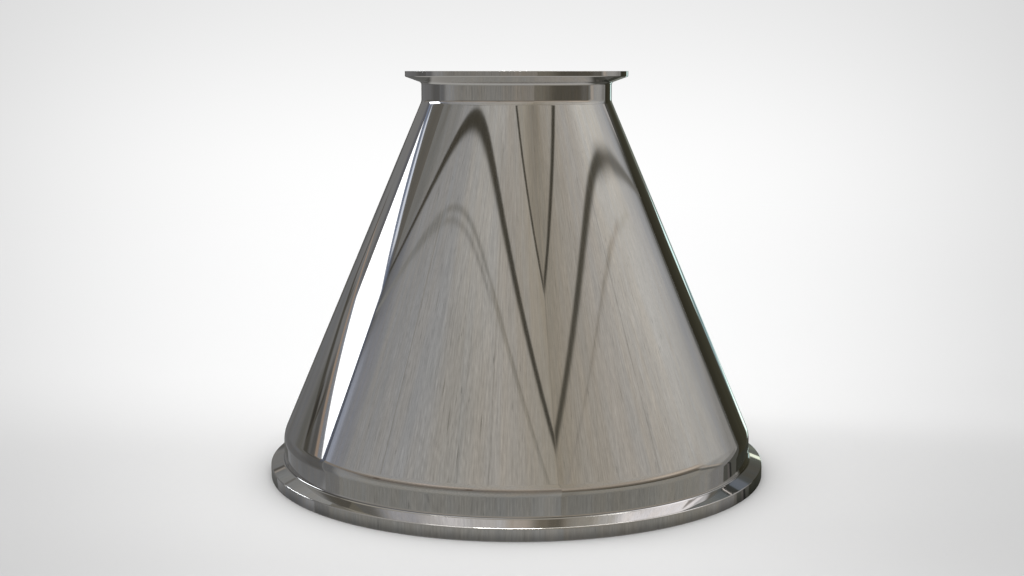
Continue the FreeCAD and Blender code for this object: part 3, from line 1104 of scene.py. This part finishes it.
    def right_wall(self) -> RoomWall:
        """Describe the wall behind the camera's right shoulder, whose rail turns down along a stair.

        Returns:
            The wall.
        """
        shades = [
            Shade(-1.15, (0.395, 0.358, 0.300)),
            Shade(-0.4, (0.462, 0.430, 0.383)),
            Shade(0.3, (0.530, 0.506, 0.474)),
            Shade(1.1, (0.650, 0.627, 0.588)),
            Shade(2.1, (0.700, 0.685, 0.655)),
            Shade(4.2, (0.600, 0.598, 0.595)),
            Shade(6.6, (0.480, 0.490, 0.510)),
            Shade(10.4, (0.300, 0.306, 0.310)),
            Shade(12.6, (0.125, 0.125, 0.115)),
        ]
        patches = [
            Patch((0.2, 1.5), (DEEP, 0.48), (0.490, 0.467, 0.435), (0.3, 0.1, 0.32), 0.8),
            Patch((1.5, 5.5), (DEEP, 0.40), (0.535, 0.530, 0.515), (0.3, 0.1, 0.28), 0.8),
            Patch((4.6, 9.5), (DEEP, 0.35), (0.395, 0.403, 0.420), (0.9, 0.1, 0.25), 0.7),
            Patch((2.25, 10.5), (DEEP, -0.15), (0.405, 0.400, 0.392), (0.25, 0.1, 0.25), 0.8),
            Patch((5.5, 12.0), (DEEP, -0.40), (0.315, 0.310, 0.300), (1.0, 0.1, 0.20), 0.8),
            Patch((1.0, 3.2), (0.90, 1.75), (0.760, 0.745, 0.710), (0.3, 0.15, 0.1), 0.8),
            Patch((0.35, 0.95), (DEEP, 0.65), (0.510, 0.487, 0.455), (0.20, 0.1, 0.10), 0.5),
            Patch((-1.2, -0.87), (1.25, 1.62), (0.345, 0.315, 0.265), (0.14, 0.10, 0.1), 0.4),
            Patch((-1.2, -0.75), (1.65, OPEN), (0.25, 0.23, 0.20), (0.12, 0.25, 0.1), 0.9),
            Patch((-0.55, 0.10), (2.0, OPEN), (0.63, 0.61, 0.57), (0.3, 0.25, 0.1)),
            Patch((0.02, OPEN), (1.95, OPEN), (0.95, 0.94, 0.93), (0.22, 0.15, 0.1)),
            Patch((0.52, 5.6), (1.95, OPEN), (1.62, 1.60, 1.70), (0.22, 0.14, 0.1)),
            Patch((3.25, OPEN), (1.6, 2.72), (0.56, 0.54, 0.545), (0.12, 0.2, 0.10)),
            Patch((5.6, OPEN), (2.2, OPEN), (0.60, 0.60, 0.60), (1.6, 0.40, 0.1)),
            Patch((-1.1, 1.1), (0.824, 0.850), (0.440, 0.405, 0.360), (0.15, 0.006, 0.006), 0.4),
            Patch((-1.1, 0.62), (0.8365, 0.8455), (0.330, 0.305, 0.270), (0.15, 0.005, 0.004), 0.85),
            Patch((0.62, 1.2), (0.829, 0.846), (0.420, 0.390, 0.345), (0.15, 0.007, 0.006), 0.9),
            Patch((1.1, 1.8), (0.822, 0.842), (0.540, 0.495, 0.440), (0.20, 0.009, 0.008), 0.9),
            Patch((1.8, 3.0), (0.809, 0.829), (0.610, 0.590, 0.540), (0.25, 0.012, 0.012), 0.8),
            Patch((1.5, OPEN), (0.948, 1.012), (0.165, 0.155, 0.138), (0.4, 0.035, 0.032), 0.95),
            Patch((2.9, OPEN), (0.938, 1.015), (0.225, 0.220, 0.205), (0.4, 0.045, 0.060), 0.95),
            Patch((-9.0, 2.0), (0.963, 1.005), (0.095, 0.088, 0.070), (0.5, 0.014, 0.009)),
            Patch((-OPEN, 2.4), (1.295, 1.332), GROOVE, (0.50, 0.008, 0.006)),
            Patch((-0.9, 0.0), (1.305, 1.344), GROOVE, (0.1, 0.008, 0.006), 0.7),
            self.panel_joint(0.80, (0.45, 1.00), 0.60),
            self.panel_joint(-0.66, (0.12, 0.90), 0.25),
            self.scratch(0.36, 0.68, 0.014),
            self.scratch(0.95, 0.60, 0.010),
            self.scratch(1.42, 0.70, 0.012),
            Patch((-OPEN, -1.170), (0.35, OPEN), (0.285, 0.262, 0.225), (0.010, 0.05, 0.1), 0.5),
            rail((-OPEN, 2.1), (-0.4, 0.085), (0.480, 0.420, 0.360), (0.3, 0.1, 0.03), 0.85),
            rail((0.45, 2.0), (-0.09, 0.062), (0.720, 0.630, 0.540), (0.35, 0.02, 0.02), 0.85),
            rail((-OPEN, 2.1), (-0.4, -0.036), (0.285, 0.247, 0.208), (0.25, 0.1, 0.024)),
            rail((-OPEN, 2.1), (-0.4, -0.078), (0.185, 0.160, 0.130), (0.25, 0.1, 0.014)),
            rail((-OPEN, 1.95), (-0.4, -0.124), (0.112, 0.102, 0.084), (0.12, 0.1, 0.010)),
            rail((-OPEN, -0.48), (-0.4, -0.124), (0.222, 0.205, 0.172), (0.38, 0.1, 0.010)),
            rail((1.20, 1.78), (-0.4, -0.124), (0.165, 0.156, 0.140), (0.22, 0.1, 0.010), 0.95),
            rail((1.82, 1.96), (-0.4, -0.124), (0.090, 0.088, 0.072), (0.04, 0.1, 0.010), 0.9),
            rail((-OPEN, 2.3), (DEEP, -0.177), (0.345, 0.332, 0.302), (0.12, 0.1, 0.010)),
            Patch((1.9, 6.0), (DEEP, 0.97), (0.33, 0.322, 0.305), (0.15, 0.1, 0.16), 1.0, -0.57),
            Patch((1.9, 4.2), (0.76, 0.95), (0.53, 0.475, 0.425), (0.2, 0.06, 0.06), 0.85, -0.57),
            Patch((1.9, OPEN), (0.50, 0.72), (0.165, 0.160, 0.145), (0.12, 0.07, 0.08), 0.9, -0.57),
            Patch((2.9, 9.0), (DEEP, -1.15), (0.225, 0.220, 0.210), (0.4, 0.1, 0.20), 0.7),
            Patch((2.4, 9.0), (DEEP, -1.50), (0.262, 0.258, 0.256), (0.3, 0.1, 0.06), 0.9),
            rail((-OPEN, 1.9), (DEEP, -0.38), (0.290, 0.284, 0.264), (0.3, 0.15, 0.07), 0.8),
            rail((-OPEN, -0.85), (DEEP, -0.20), (0.275, 0.262, 0.235), (0.15, 0.15, 0.03), 0.8),
            rail((-OPEN, 0.5), (DEEP, -0.38), (0.248, 0.243, 0.226), (0.30, 0.15, 0.07), 0.8),
            rail((-OPEN, 3.0), (DEEP, -0.50), (0.57, 0.55, 0.53), (0.6, 0.1, 0.04)),
        ]
        return RoomWall(
            "right_wall", shades, patches, 1.9725, CastConcrete(), azimuth=51.72, span=(-1.191, 15.57)
        )

    def window_wall(self) -> RoomWall:
        """Describe the far left wall with the large window.

        Returns:
            The wall.
        """
        shades = [
            Shade(-7.0, (0.175, 0.173, 0.168)),
            Shade(-4.2, (0.222, 0.220, 0.216)),
            Shade(-1.0, (0.243, 0.243, 0.246)),
            Shade(0.6, (0.175, 0.172, 0.165)),
        ]
        patches = [
            Patch((-7.4, -0.9), (1.05, OPEN), (0.280, 0.285, 0.285), (0.4, 0.15, 0.1), 0.9),
            Patch((-7.4, -0.9), (1.95, OPEN), (0.350, 0.352, 0.350), (0.4, 0.35, 0.1)),
            Patch((-3.7, -2.6), (0.70, 0.80), (0.080, 0.070, 0.060), (0.25, 0.03, 0.03), 0.8),
            Patch((-3.7, -2.6), (0.83, 0.90), (0.430, 0.380, 0.330), (0.25, 0.03, 0.03), 0.8),
            Patch((-3.7, -2.6), (1.53, 1.61), (0.160, 0.150, 0.140), (0.25, 0.03, 0.03), 0.8),
            Patch((-1.30, -0.80), (0.32, 0.80), (0.155, 0.160, 0.195), (0.15, 0.12, 0.12), 0.6),
            Patch((-1.10, -0.74), (-0.02, 0.80), (0.115, 0.118, 0.135), (0.10, 0.05, 0.10), 0.55),
            Patch((-0.4, 1.5), (1.00, OPEN), (0.160, 0.152, 0.135), (0.5, 0.08, 0.1), 0.95),
            Patch((1.15, 1.42), (-0.15, 0.98), (0.132, 0.145, 0.179), (0.02, 0.05, 0.02)),
            Patch((-0.95, 1.30), (0.755, 0.862), (0.235, 0.275, 0.375), (0.15, 0.01, 0.02), 1.0, 0.06),
            Patch((-0.35, 1.08), (0.862, 0.938), (0.95, 1.03, 1.20), (0.10, 0.02, 0.02), 1.0, 0.03),
            Patch((-0.738, 1.286), (0.087, 0.757), WINDOW, (0.010, 0.008, 0.008), 1.0, 0.075),
            Patch((-0.55, 1.10), (0.18, 0.66), DAYLIGHT, (0.20, 0.10, 0.10), 1.0, 0.075),
            Patch((1.0, 1.31), (-OPEN, -9.43), (0.135, 0.150, 0.200), (0.01, 0.1, 0.08), 1.0, 8.0),
            Patch(WIDE, (DEEP, -0.52), (0.184, 0.186, 0.192), (0.4, 0.1, 0.16), 0.9),
            Patch((-7.5, -3.6), (-2.1, -0.45), (0.104, 0.102, 0.097), (0.6, 0.15, 0.20), 0.9),
            Patch((-3.2, 1.5), (DEEP, -1.05), (0.155, 0.155, 0.157), (0.6, 0.15, 0.20), 0.9),
            Patch((0.0, 1.5), (-1.7, -0.15), (0.122, 0.120, 0.118), (0.5, 0.15, 0.15), 0.8),
            Patch((-1.3, 0.1), (-0.62, -0.36), (0.150, 0.148, 0.135), (0.3, 0.10, 0.06), 0.8),
            Patch((-3.4, 1.5), (DEEP, -1.92), (0.212, 0.215, 0.222), (0.6, 0.15, 0.10)),
            Patch((-3.4, 1.5), (DEEP, -2.10), (0.255, 0.258, 0.265), (0.6, 0.15, 0.04)),
            Patch((-0.8, 1.5), (DEEP, -2.10), (0.330, 0.335, 0.350), (0.4, 0.15, 0.04)),
            Patch((-2.1, 1.0), (-0.295, -0.185), (0.085, 0.080, 0.068), (0.15, 0.03, 0.03), 0.95, 0.08),
            Patch((-2.11, -1.91), (-0.42, -0.08), (0.100, 0.092, 0.085), (0.04, 0.04, 0.04), 0.85),
            Patch((-1.63, -1.43), (-0.32, -0.23), (0.085, 0.078, 0.065), (0.06, 0.03, 0.03), 0.7),
            Patch((-0.64, -0.30), (-0.32, -0.22), (0.050, 0.046, 0.040), (0.05, 0.02, 0.02), 0.85),
            Patch((-0.60, 0.80), (-0.13, -0.045), (0.105, 0.103, 0.100), (0.2, 0.02, 0.015), 0.7, 0.067),
            Patch((-0.28, -0.14), (-0.20, -0.10), (0.070, 0.065, 0.055), (0.04, 0.03, 0.03), 0.8),
            Patch((-0.9, 1.32), (0.010, 0.090), (0.300, 0.320, 0.360), (0.2, 0.015, 0.015), 0.9, 0.067),
            Patch((-1.85, 1.15), (-0.036, 0.016), (0.430, 0.335, 0.270), (0.20, 0.012, 0.012), 0.95, 0.067),
        ]
        grain = CastConcrete(cloud=0.12, hue=0.02, streak=0.16, grain=0.20, pit=0.0)
        return RoomWall("window_wall", shades, patches, 4.55, grain, azimuth=-121.7, span=(-7.37, 1.408))

    def back_wall(self) -> RoomWall:
        """Describe the far right wall: a dark opening with a pale doorway far behind it.

        Returns:
            The wall.
        """
        shades = [
            Shade(-1.2, (0.044, 0.041, 0.028)),
            Shade(0.0, (0.056, 0.054, 0.037)),
            Shade(1.6, (0.19, 0.20, 0.18)),
        ]
        patches = [
            Patch((-9.0, 1.1), (0.38, OPEN), (0.100, 0.100, 0.092), (0.3, 0.16, 0.1), 0.9),
            Patch(ACROSS, (1.2, OPEN), (0.125, 0.142, 0.152), (0.3, 0.25, 0.1), 0.9),
            Patch(ACROSS, (2.0, OPEN), (0.215, 0.225, 0.222), (0.3, 0.30, 0.1), 0.9),
            Patch(ACROSS, (1.24, 1.58), (0.185, 0.205, 0.240), (0.3, 0.05, 0.02), 0.9),
            Patch(ACROSS, (1.60, 1.90), (0.055, 0.055, 0.050), (0.3, 0.015, 0.03), 0.9),
            Patch(ACROSS, (1.815, 1.845), (1.05, 0.99, 0.97), (0.3, 0.005, 0.005)),
            Patch((0.96, 1.70), (-1.62, -0.74), (0.29, 0.36, 0.34), (0.08, 0.06, 0.08), 0.95),
            Patch((0.96, 1.66), (-1.56, -1.16), (0.54, 0.70, 0.67), (0.08, 0.06, 0.14), 0.95),
            Patch((0.50, 1.12), (-1.24, -0.86), (0.31, 0.43, 0.44), (0.05, 0.03, 0.03), 0.95),
            Patch((0.82, 1.14), (-1.14, -0.90), (0.095, 0.150, 0.185), (0.08, 0.06, 0.06), 0.85),
            Patch((0.41, 0.88), (-0.83, -0.545), (0.95, 1.22, 1.18), (0.03, 0.03, 0.03)),
            Patch((0.48, 1.00), (-1.52, -1.235), (1.25, 1.50, 1.38), (0.03, 0.03, 0.03)),
            Patch((0.695, 1.01), (-0.06, 0.10), (1.10, 1.16, 0.96), (0.03, 0.03, 0.03)),
            Patch((0.55, 1.15), (-0.52, -0.30), (0.20, 0.22, 0.18), (0.08, 0.06, 0.06), 0.9),
            Patch((1.75, 9.0), (-0.85, -0.25), (0.23, 0.24, 0.22), (0.15, 0.1, 0.15), 0.8),
            Patch(ACROSS, (DEEP, -1.66), (0.045, 0.046, 0.038), (0.1, 0.1, 0.05), 0.95),
        ]
        grain = CastConcrete(cloud=0.25, hue=0.03, streak=0.10, grain=0.08, pit=0.0)
        return RoomWall("back_wall", shades, patches, 4.39, grain, azimuth=150.0, span=(-1.217, 2.535))

    def floor(self) -> RoomLevel:
        """Describe the pale floor, which is dark at the back.

        Returns:
            The floor.
        """
        patches = [
            Patch(WIDE, (3.1, OPEN), (0.13, 0.13, 0.125), (0.8, 0.5, 0.1)),
            Patch((0.6, OPEN), (1.3, OPEN), (0.10, 0.10, 0.09), (0.8, 0.5, 0.1)),
            Patch((3.2, 6.0), (1.90, 2.44), (0.215, 0.205, 0.190), (0.4, 0.10, 0.05)),
            Patch((3.0, 6.0), (2.80, 2.98), (0.137, 0.127, 0.122), (0.3, 0.03, 0.02)),
            Patch((3.0, 6.0), (2.98, 3.14), (0.035, 0.035, 0.033), (0.3, 0.02, 0.02)),
        ]
        bare = [Shade(0.0, (0.50, 0.495, 0.49))]
        return RoomLevel("room_floor", bare, patches, height=self.floor_height)

    def ceiling(self) -> RoomLevel:
        """Describe the ceiling, with a bright lamp behind the zenith in a dimmer strip.

        Returns:
            The ceiling.
        """
        patches = [
            Patch((-1.3, 1.8), (0.5, 1.1), (5.0, 5.0, 4.9), (0.05, 0.05, 0.05)),
            Patch((-0.55, 0.33), (0.40, 1.0), (26.0, 26.0, 25.5), (0.03, 0.05, 0.05)),
            Patch(WIDE, (2.6, OPEN), (0.16, 0.155, 0.14), (0.5, 0.5, 0.1), 0.8),
            Patch((-OPEN, -3.9), WIDE, (0.235, 0.225, 0.190), (0.35, 0.5, 0.1), 0.9),
            Patch((-OPEN, -4.2), (2.2, OPEN), (0.320, 0.310, 0.295), (0.30, 0.5, 0.1), 0.9),
            Patch((2.5, 4.3), (-1.0, 2.8), (1.50, 1.47, 1.55), (0.4, 0.5, 0.40)),
            Patch((4.0, 6.0), (2.3, 3.7), (0.90, 0.90, 0.95), (0.3, 0.4, 0.4)),
        ]
        bare = [Shade(0.0, (0.46, 0.44, 0.40))]
        return RoomLevel("room_ceiling", bare, patches, height=self.ceiling_height)

    def build(self) -> list[bpy.types.Object]:
        """Build the four walls, the floor and the ceiling.

        Returns:
            Their sheets, in that order.
        """
        walls = (self.left_wall(), self.right_wall(), self.window_wall(), self.back_wall())
        return [sheet.build() for sheet in (*walls, self.floor(), self.ceiling())]


@dataclass
class PaleStage:
    """The pale floor, which curves up into a backdrop all round, with a painted pool of light behind the
    reducer and a painted contact shadow round the large rim.
    """

    flat_radius: float = 1.6
    curve_radius: float = 1.4
    wall_height: float = 3.0
    segments: int = 96
    daylight: float = 1.065
    # A painted pool of light: brightest behind the reducer, falling off to the sides, the front and the top.
    edge_tone: float = 0.60
    painted_pool_tone: float = 0.41
    pool_side: float = 0.014
    viewpoint: float = 0.77
    level: float = 0.2159
    # Painted shade and light: a painted contact shadow close to the large rim, and a painted brightening
    # around it for the sky that the reducer hides.
    rim_radius: float = 134.24 * MM
    contact_shadow_tone: float = 0.28
    contact_shadow_reach: float = 8 * MM
    painted_sky_lift: float = 0.13
    sky_reach: float = 0.10
    # Painted light: the near floor is painted a little brighter, most on the side where the key lamp's
    # shadow falls.
    painted_floor_lift: float = 0.062
    outer_tone: float = 0.80
    least_reach: float = 0.25
    pool_width: Ramp = (0.20, 0.31, 0.385, 0.305)
    front_share: Ramp = (0.212, 0.278, 1.0, 0.55)
    nearest_share: Ramp = (0.31, 0.37, 1.0, 0.80)
    back_share: Ramp = (-0.10, 0.085, 0.52, 1.0)
    side_limit: float = 0.4
    side_slope: float = 1.37
    lift_start: tuple[float, float] = (0.215, 0.255)
    lift_share: Ramp = (0.30, 0.36, 1.0, 0.4)
    outer_edge: tuple[float, float] = (0.45, 1.2)
    glow_start: float = 0.8
    flat_rings: tuple[float, ...] = (0.001, 0.4, 0.8, 1.2)
    bend_points: int = 17

    def tone(self, paint: Painter, x: Socket, y: Socket, z: Socket) -> Socket:
        """Work out the stage's tone.

        It is edge + pool * exp(-(|x / reach + side| / width)^3) * front * back, where the pool is a painted
        pool of light and the reach is the distance from a fixed point in front of the reducer. The drop is
        the height below the level of the small end over the reach: the width shrinks with it, the front
        share falls towards the nearest floor, and the back share falls towards the top of the backdrop. The
        floor itself is painted a little brighter, most on the shadow's side. Wide of the pool the tone
        settles to an even one.

        Args:
            paint: the material's painter.
            x: the first level coordinate.
            y: the second level coordinate.
            z: the height.

        Returns:
            The tone.
        """
        reach = paint.math("MAXIMUM", paint.math("ADD", y, self.viewpoint), self.least_reach)
        drop = paint.math("DIVIDE", paint.math("SUBTRACT", self.level, z), reach)
        turn = paint.math("DIVIDE", x, reach)
        aside = paint.math("ABSOLUTE", paint.math("ADD", turn, self.pool_side))
        across = paint.math("DIVIDE", aside, paint.ramp(drop, *self.pool_width))
        # The painted pool of light.
        pool = paint.math("EXPONENT", paint.math("MULTIPLY", paint.math("POWER", across, 3.0), -1.0))
        for share in (self.front_share, self.nearest_share, self.back_share):
            pool = paint.math("MULTIPLY", pool, paint.ramp(drop, *share))
        tone = paint.math("MULTIPLY_ADD", pool, self.painted_pool_tone, self.edge_tone)
        # Painted light on the near floor, strongest on the shadow's side.
        side = paint.math("MAXIMUM", paint.math("MINIMUM", turn, self.side_limit), -self.side_limit)
        lift = paint.math("MULTIPLY_ADD", side, self.side_slope, 1.0)
        lift = paint.math("MULTIPLY", lift, paint.ramp(drop, *self.lift_start, 0.0, self.painted_floor_lift))
        lift = paint.math("MULTIPLY", lift, paint.ramp(drop, *self.lift_share))
        tone = paint.math("MULTIPLY_ADD", lift, tone, tone)
        beyond = paint.ramp(aside, *self.outer_edge)
        return paint.math("MULTIPLY_ADD", beyond, paint.math("SUBTRACT", self.outer_tone, tone), tone)

    def nearness(self, paint: Painter, away: Socket, reach: float) -> Socket:
        """Work out how near a point is to the large rim: exp((rim - away) / reach), and 1 under it.

        Args:
            paint: the material's painter.
            away: distance from the axis.
            reach: the distance over which it falls off.

        Returns:
            The nearness, from 0 to 1.
        """
        gap = paint.math("DIVIDE", paint.math("SUBTRACT", self.rim_radius, away), reach)
        return paint.math("MINIMUM", paint.math("EXPONENT", gap), 1.0)

    def dress(self) -> bpy.types.Material:
        """Build the stage's material.

        Close to the large rim a painted contact shadow darkens the floor, and around it a painted
        brightening makes up for the sky that the reducer hides. Near the reducer it is a matt surface that
        holds the shadow, and far from it the same tone given off as light.

        Returns:
            The finished material.
        """
        paint = Painter("pale_stage")
        x, y, z = paint.split(paint.node("ShaderNodeTexCoord").outputs["Object"])
        tone = self.tone(paint, x, y, z)
        away = paint.distance(x, y)
        # Painted contact shadow close to the large rim, and painted brightening for the sky that the reducer
        # hides.
        foot = self.nearness(paint, away, self.contact_shadow_reach)
        around = self.nearness(paint, away, self.sky_reach)
        painted_near_shading = paint.math("MULTIPLY_ADD", foot, -self.contact_shadow_tone, 1.0)
        share = paint.math("MULTIPLY_ADD", around, self.painted_sky_lift, 1.0)
        painted_near_shading = paint.math("MULTIPLY", painted_near_shading, share)
        matt = paint.node("ShaderNodeBsdfDiffuse")
        shade = paint.math("DIVIDE", paint.math("MULTIPLY", tone, painted_near_shading), self.daylight)
        paint.feed(matt.inputs["Color"], paint.joined(shade, shade, shade))
        glow = paint.node("ShaderNodeEmission")
        paint.feed(glow.inputs["Color"], paint.joined(tone, tone, tone))
        blend = paint.node("ShaderNodeMixShader")
        paint.feed(blend.inputs[0], paint.ramp(away, self.glow_start, self.flat_radius))
        paint.feed(blend.inputs[1], matt.outputs[0])
        paint.feed(blend.inputs[2], glow.outputs[0])
        return paint.output(blend.outputs[0])

    def build(self) -> bpy.types.Object:
        """Turn the stage's profile round the axis: a flat disc, a quarter circle and an upright wall.

        Returns:
            The stage's object.
        """
        bend = np.linspace(0.0, math.pi / 2, self.bend_points)
        flat = np.column_stack([self.flat_rings, np.zeros(len(self.flat_rings))])
        curve = np.column_stack([
            self.flat_radius + self.curve_radius * np.sin(bend),
            self.curve_radius * (1.0 - np.cos(bend)),
        ])
        top = np.array([[self.flat_radius + self.curve_radius, self.wall_height]])
        points = np.vstack([flat, curve, top])
        angle = np.linspace(0.0, math.tau, self.segments, endpoint=False)
        grid = np.stack([
            points[:, 0, None] * np.cos(angle),
            points[:, 0, None] * np.sin(angle),
            np.repeat(points[:, 1, None], self.segments, axis=1),
        ], axis=-1)
        row, column = np.meshgrid(np.arange(len(points) - 1), np.arange(self.segments), indexing="ij")
        beside = (column + 1) % self.segments
        first = row * self.segments
        faces = np.stack([
            first + column, first + beside, first + self.segments + beside, first + self.segments + column
        ], axis=-1).reshape(-1, 4)
        cap = list(range(self.segments))[::-1]
        mesh = bpy.data.meshes.new("pale_stage")
        mesh.from_pydata(grid.reshape(-1, 3).tolist(), [], [cap, *faces.tolist()])
        mesh.polygons.foreach_set("use_smooth", np.ones(len(mesh.polygons), dtype=bool))
        mesh.materials.append(self.dress())
        stage = placed("pale_stage", mesh)
        stage.visible_glossy = False
        stage.visible_diffuse = False
        stage.visible_shadow = False
        return stage


@dataclass
class StudioLight:
    """Plain soft light: an even pale sky and one low key lamp, which throws the soft shadow."""

    sky: float = 1.0
    key_azimuth: float = -98.0
    key_distance: float = 12.0
    key_height: float = 3.25
    key_size: float = 4.0
    key_power: float = 380.0

    def build(self) -> None:
        """Build the world and the key lamp."""
        world = bpy.data.worlds.new("even_sky")
        world.use_nodes = True
        back = world.node_tree.nodes["Background"]
        back.inputs["Color"].default_value = (self.sky, self.sky, self.sky, 1.0)
        bpy.context.scene.world = world
        lamp = bpy.data.lights.new("key_lamp", "AREA")
        lamp.shape = "SQUARE"
        lamp.size = self.key_size
        lamp.energy = self.key_power
        key = placed("key_lamp", lamp)
        place = self.key_distance * towards(self.key_azimuth)
        key.location = (place[0], place[1], self.key_height)
        lean = math.atan2(self.key_distance, self.key_height)
        key.rotation_euler = (lean, 0.0, math.radians(self.key_azimuth))
        key.visible_glossy = False
        key.visible_camera = False


@dataclass
class PhotoCamera:
    """The camera, level with the small end's face and looking down at the reducer."""

    side: float = -2.43 * MM
    distance: float = 772.9 * MM
    height: float = 215.9 * MM
    tilt: float = 8.611
    lens: float = 50.36
    sensor: float = 36.0
    nearest: float = 0.01
    farthest: float = 100.0

    def build(self) -> None:
        """Build the camera and make it the scene's own."""
        data = bpy.data.cameras.new("photo_camera")
        data.lens = self.lens
        data.sensor_width = self.sensor
        data.clip_start = self.nearest
        data.clip_end = self.farthest
        camera = placed("photo_camera", data)
        camera.location = (self.side, -self.distance, self.height)
        camera.rotation_euler = (math.radians(90.0 - self.tilt), 0.0, 0.0)
        bpy.context.scene.camera = camera


def main() -> None:
    """Build the camera, the shell, the stage and the light."""
    logging.basicConfig(level=logging.INFO, format="%(name)s: %(message)s")
    bpy.context.scene.view_settings.view_transform = "Standard"
    PhotoCamera().build()
    shell = ReducerShell().build()
    LOG.info("%s has %d faces", shell.name, len(shell.data.polygons))
    LOG.info("%s holds the shadow", PaleStage().build().name)
    StudioLight().build()
    for sheet in ReflectedRoom().build():
        LOG.info("%s is reflected", sheet.name)


if __name__ == "__main__":
    main()
